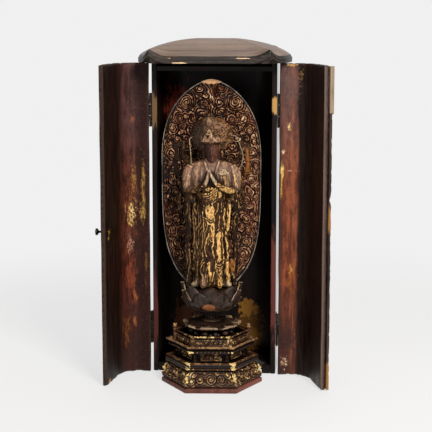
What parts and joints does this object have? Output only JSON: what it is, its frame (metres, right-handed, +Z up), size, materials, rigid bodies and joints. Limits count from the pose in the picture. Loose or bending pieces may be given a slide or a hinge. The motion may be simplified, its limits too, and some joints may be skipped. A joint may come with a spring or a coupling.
{
  "type": "buddhist altar shrine cabinet with standing figure",
  "caption": "Portable lacquered shrine cabinet with domed roof and two curved hinged doors, holding a carved standing figure on a lotus and a tiered hexagonal pedestal.",
  "frame": {"origin": "Centre of the underside of the hexagonal pedestal, on the surface that the altar stands on.", "axes": "+Z up, the open front faces -Y, +X is the viewer's right when seen from the front."},
  "size_m": [0.3093, 0.2028, 0.4545],
  "materials": {
    "black_lacquer": "worn black lacquer over red-brown wood",
    "brown_lacquer": "dark brown lacquer with worn gilt edges",
    "worn_roof_lacquer": "rubbed grey-brown lacquer with a black rim",
    "red_brown_lacquer": "semi-gloss red-brown lacquer",
    "grey_bronze_lacquer": "dark grey lacquer with pale worn edges",
    "carved_halo_lacquer": "dark brown carved relief with rubbed ridges",
    "worn_gilding": "gold leaf worn through to dark lacquer",
    "dark_iron": "dark patinated iron",
    "aged_brass": "dull aged brass"
  },
  "bodies": {
    "cabinet": {"cabinet_wall": "black_lacquer", "cabinet_ceiling": "black_lacquer", "cabinet_floor": "black_lacquer", "roof": "worn_roof_lacquer", "left_upper_hinge_cabinet_leaf": "dark_iron", "left_lower_hinge_cabinet_leaf": "dark_iron", "right_upper_hinge_cabinet_leaf": "dark_iron", "right_lower_hinge_cabinet_leaf": "dark_iron", "pedestal_base_board": "red_brown_lacquer", "pedestal_scroll_tier": "brown_lacquer", "pedestal_stepped_moulding": "brown_lacquer", "pedestal_panelled_waist": "brown_lacquer", "pedestal_platform": "brown_lacquer", "pedestal_balustrade": "brown_lacquer", "pedestal_leaf_tray": "grey_bronze_lacquer", "lotus_stem": "grey_bronze_lacquer", "lotus_seat": "grey_bronze_lacquer", "halo": "carved_halo_lacquer", "figure": "worn_gilding"},
    "left_door": {"left_door_panel": "black_lacquer", "left_upper_hinge_door_leaf": "dark_iron", "left_lower_hinge_door_leaf": "dark_iron", "left_door_pull_knob": "dark_iron", "left_door_inner_rosette": "aged_brass"},
    "right_door": {"right_door_panel": "black_lacquer", "right_upper_hinge_door_leaf": "dark_iron", "right_lower_hinge_door_leaf": "dark_iron", "right_door_meeting_strip": "brown_lacquer"}
  },
  "joints": [
    {"name": "left_door_hinge", "type": "hinge", "parent": "cabinet", "child": "left_door", "pos_m": [-0.0875, 0.044, 0.2], "axis": [0, 0, -1], "range_deg": [-50, 75]},
    {"name": "right_door_hinge", "type": "hinge", "parent": "cabinet", "child": "right_door", "pos_m": [0.0843, 0.044, 0.2], "axis": [0, 0, 1], "range_deg": [-60, 65]}
  ]
}
